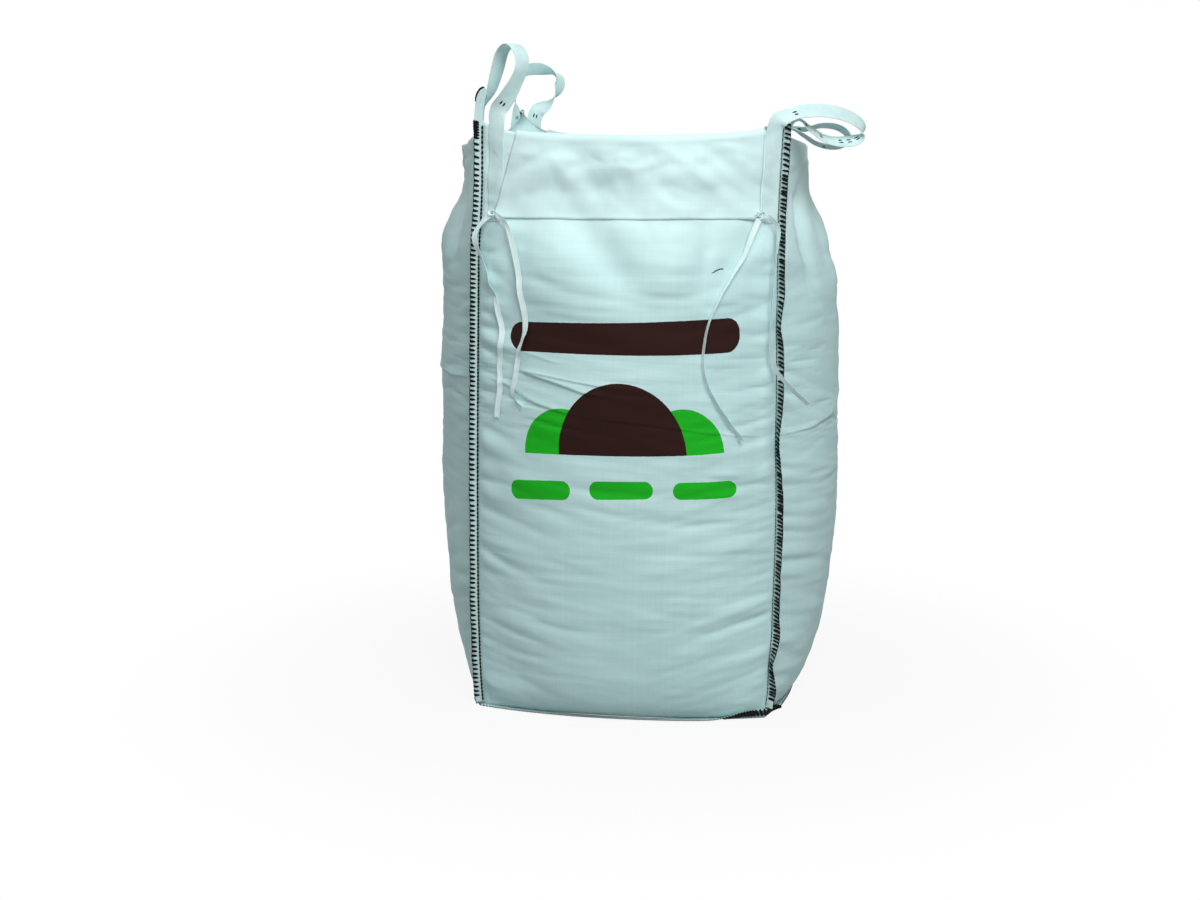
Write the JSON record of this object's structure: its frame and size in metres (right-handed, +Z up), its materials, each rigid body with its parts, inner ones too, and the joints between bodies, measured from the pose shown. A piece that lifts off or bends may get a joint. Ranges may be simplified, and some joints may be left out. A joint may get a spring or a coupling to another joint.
{
  "type": "bulk bag",
  "caption": "Filled bulk bag of potting soil: a woven square sack swollen nearly round, with overlocked corner seams, webbing lift loops and a cover flap tied down over the front",
  "frame": {"origin": "the centre of the flat base, on the floor", "axes": "+Z up; the front panel, with the flap and ties, faces -Y; +X is to the right seen from the front"},
  "size_m": [1.1828, 1.1308, 1.8023],
  "materials": {
    "woven": "woven polypropylene tape cloth, white with a cool cast, low sheen",
    "flap_cloth": "thin woven polypropylene cloth, brighter than the panels, crumpled",
    "webbing": "flat woven webbing, matt white",
    "thread": "black overlock thread over a folded fabric edge",
    "tape": "thin flat tie tape, white, low sheen"
  },
  "bodies": {
    "root": {"bag_body": "woven", "cover_flap": "flap_cloth", "base_seam": "thread", "corner_seam_front_left": "thread", "corner_seam_front_right": "thread", "corner_seam_back_right": "thread", "corner_seam_back_left": "thread", "lift_loop_front_left": "webbing", "lift_loop_front_right": "webbing", "lift_loop_back_right": "webbing", "lift_loop_back_left": "webbing", "tie_tape_left_inner": "tape", "tie_tape_left_outer": "tape", "tie_tape_right_inner": "tape", "tie_tape_right_outer": "tape", "tie_knot_left": "tape", "tie_knot_right": "tape"}
  },
  "joints": []
}
